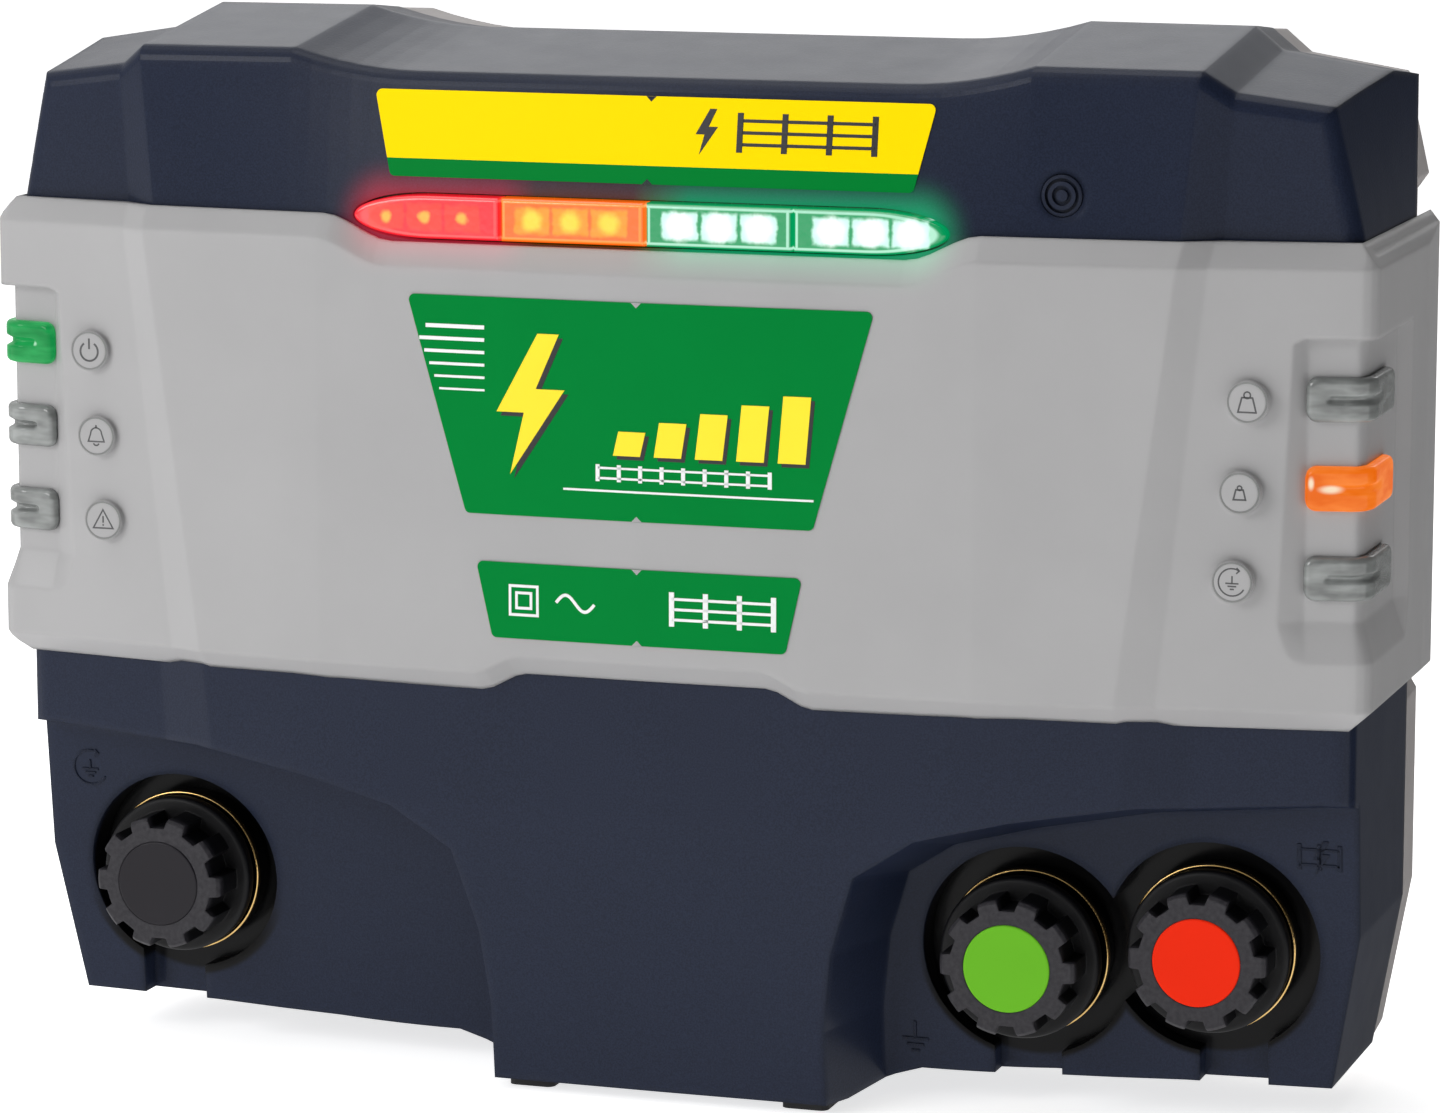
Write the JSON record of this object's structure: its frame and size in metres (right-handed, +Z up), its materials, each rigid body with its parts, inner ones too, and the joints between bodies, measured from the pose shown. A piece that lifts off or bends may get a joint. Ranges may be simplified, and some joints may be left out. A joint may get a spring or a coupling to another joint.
{
  "type": "fence energizer",
  "caption": "Mains-powered electric fence energizer in a wall-hung plastic case, with a coloured light bar, corner light guides and screw terminals for fence and ground leads.",
  "frame": {"origin": "centre of the case's footprint at ground level, under the feet", "axes": "+Z up, the front with the light bar and terminals faces -Y, the flat back faces +Y"},
  "size_m": [0.357, 0.1076, 0.2692],
  "materials": {
    "aluminium": "extruded",
    "amber_lens": "translucent, lit",
    "black_cap": "satin gloss",
    "black_plastic": "satin",
    "brass": "bright",
    "bright_steel": "zinc plated",
    "capacitor_can": "drawn can",
    "circuit_board": "solder resist",
    "clear_guide": "smoked translucent",
    "copper_winding": "enamelled copper wire",
    "core_steel": "varnished laminations",
    "green_cap": "satin gloss",
    "green_film": "printed film",
    "green_lens": "translucent, lit",
    "grey_plastic": "satin gloss",
    "lead_insulation": "silicone sleeve",
    "led_body": "glossy",
    "light_grey_plastic": "coarse texture",
    "lit_green_guide": "translucent, lit",
    "lit_orange_guide": "translucent, lit",
    "navy_plastic": "fine satin texture",
    "red_cap": "satin gloss",
    "red_lens": "translucent, lit",
    "rubber": "matte",
    "yellow_film": "printed film"
  },
  "bodies": {
    "case": {"alarm_light_guide": "clear_guide", "amber_bar_lens": "amber_lens", "board_screws": "bright_steel", "earth_light_guide": "clear_guide", "earth_test_contact_plate": "brass", "earth_test_lead": "lead_insulation", "earth_test_stud": "brass", "fascia_band": "grey_plastic", "fence_contact_plate": "brass", "fence_lead": "lead_insulation", "fence_stud": "brass", "front_housing": "navy_plastic", "fuse_holder": "black_plastic", "gland_body": "black_plastic", "gland_nut": "black_plastic", "ground_contact_plate": "brass", "ground_lead": "lead_insulation", "ground_stud": "brass", "heat_sink": "aluminium", "high_power_light_guide": "clear_guide", "hood_label": "yellow_film", "housing_screws": "bright_steel", "housing_seal": "rubber", "indicator_leds": "led_body", "inner_green_bar_lens": "green_lens", "left_indicator_board": "circuit_board", "light_bar_board": "circuit_board", "light_bar_leds": "led_body", "line_choke": "copper_winding", "low_power_light_guide": "lit_orange_guide", "main_board": "circuit_board", "mains_terminal_block": "black_plastic", "model_label": "green_film", "outer_green_bar_lens": "green_lens", "power_light_guide": "lit_green_guide", "rating_label": "green_film", "rear_housing": "light_grey_plastic", "red_bar_lens": "red_lens", "right_indicator_board": "circuit_board", "rubber_feet": "rubber", "sounder": "black_plastic", "sounder_grille": "navy_plastic", "storage_capacitors": "capacitor_can", "strap_screws": "bright_steel", "stud_nuts": "brass", "thyristors": "black_plastic", "transformer_coil": "copper_winding", "transformer_core": "core_steel", "transformer_strap": "bright_steel", "warning_light_guide": "clear_guide"},
    "earth_test_clamp": {"earth_test_clamp_washer": "bright_steel"},
    "earth_test_knob_body": {"earth_test_knob": "black_plastic", "earth_test_knob_cap": "black_cap"},
    "ground_clamp": {"ground_clamp_washer": "bright_steel"},
    "ground_knob_body": {"ground_knob": "black_plastic", "ground_knob_cap": "green_cap"},
    "fence_clamp": {"fence_clamp_washer": "bright_steel"},
    "fence_knob_body": {"fence_knob": "black_plastic", "fence_knob_cap": "red_cap"}
  },
  "joints": [
    {"name": "earth_test_clamp_travel", "type": "slide", "parent": "case", "child": "earth_test_clamp", "axis": [0, -1, 0], "range_m": [0, 0.005]},
    {"name": "earth_test_knob_turn", "type": "hinge", "parent": "earth_test_clamp", "child": "earth_test_knob_body", "pos_m": [-0.1369, 0, 0.046], "axis": [0, -1, 0], "range_deg": [0, 1440]},
    {"name": "ground_clamp_travel", "type": "slide", "parent": "case", "child": "ground_clamp", "axis": [0, -1, 0], "range_m": [-0.0025, 0.0025]},
    {"name": "ground_knob_turn", "type": "hinge", "parent": "ground_clamp", "child": "ground_knob_body", "pos_m": [0.09, 0, 0.0415], "axis": [0, -1, 0], "range_deg": [-720, 720]},
    {"name": "fence_clamp_travel", "type": "slide", "parent": "case", "child": "fence_clamp", "axis": [0, -1, 0], "range_m": [0, 0.005]},
    {"name": "fence_knob_turn", "type": "hinge", "parent": "fence_clamp", "child": "fence_knob_body", "pos_m": [0.1369, 0, 0.046], "axis": [0, -1, 0], "range_deg": [0, 1440]}
  ],
  "couplings": [
    {"joint": "earth_test_clamp_travel", "follows": "earth_test_knob_turn", "m_per_rad": 0.00019894},
    {"joint": "ground_clamp_travel", "follows": "ground_knob_turn", "m_per_rad": 0.00019894},
    {"joint": "fence_clamp_travel", "follows": "fence_knob_turn", "m_per_rad": 0.00019894}
  ]
}
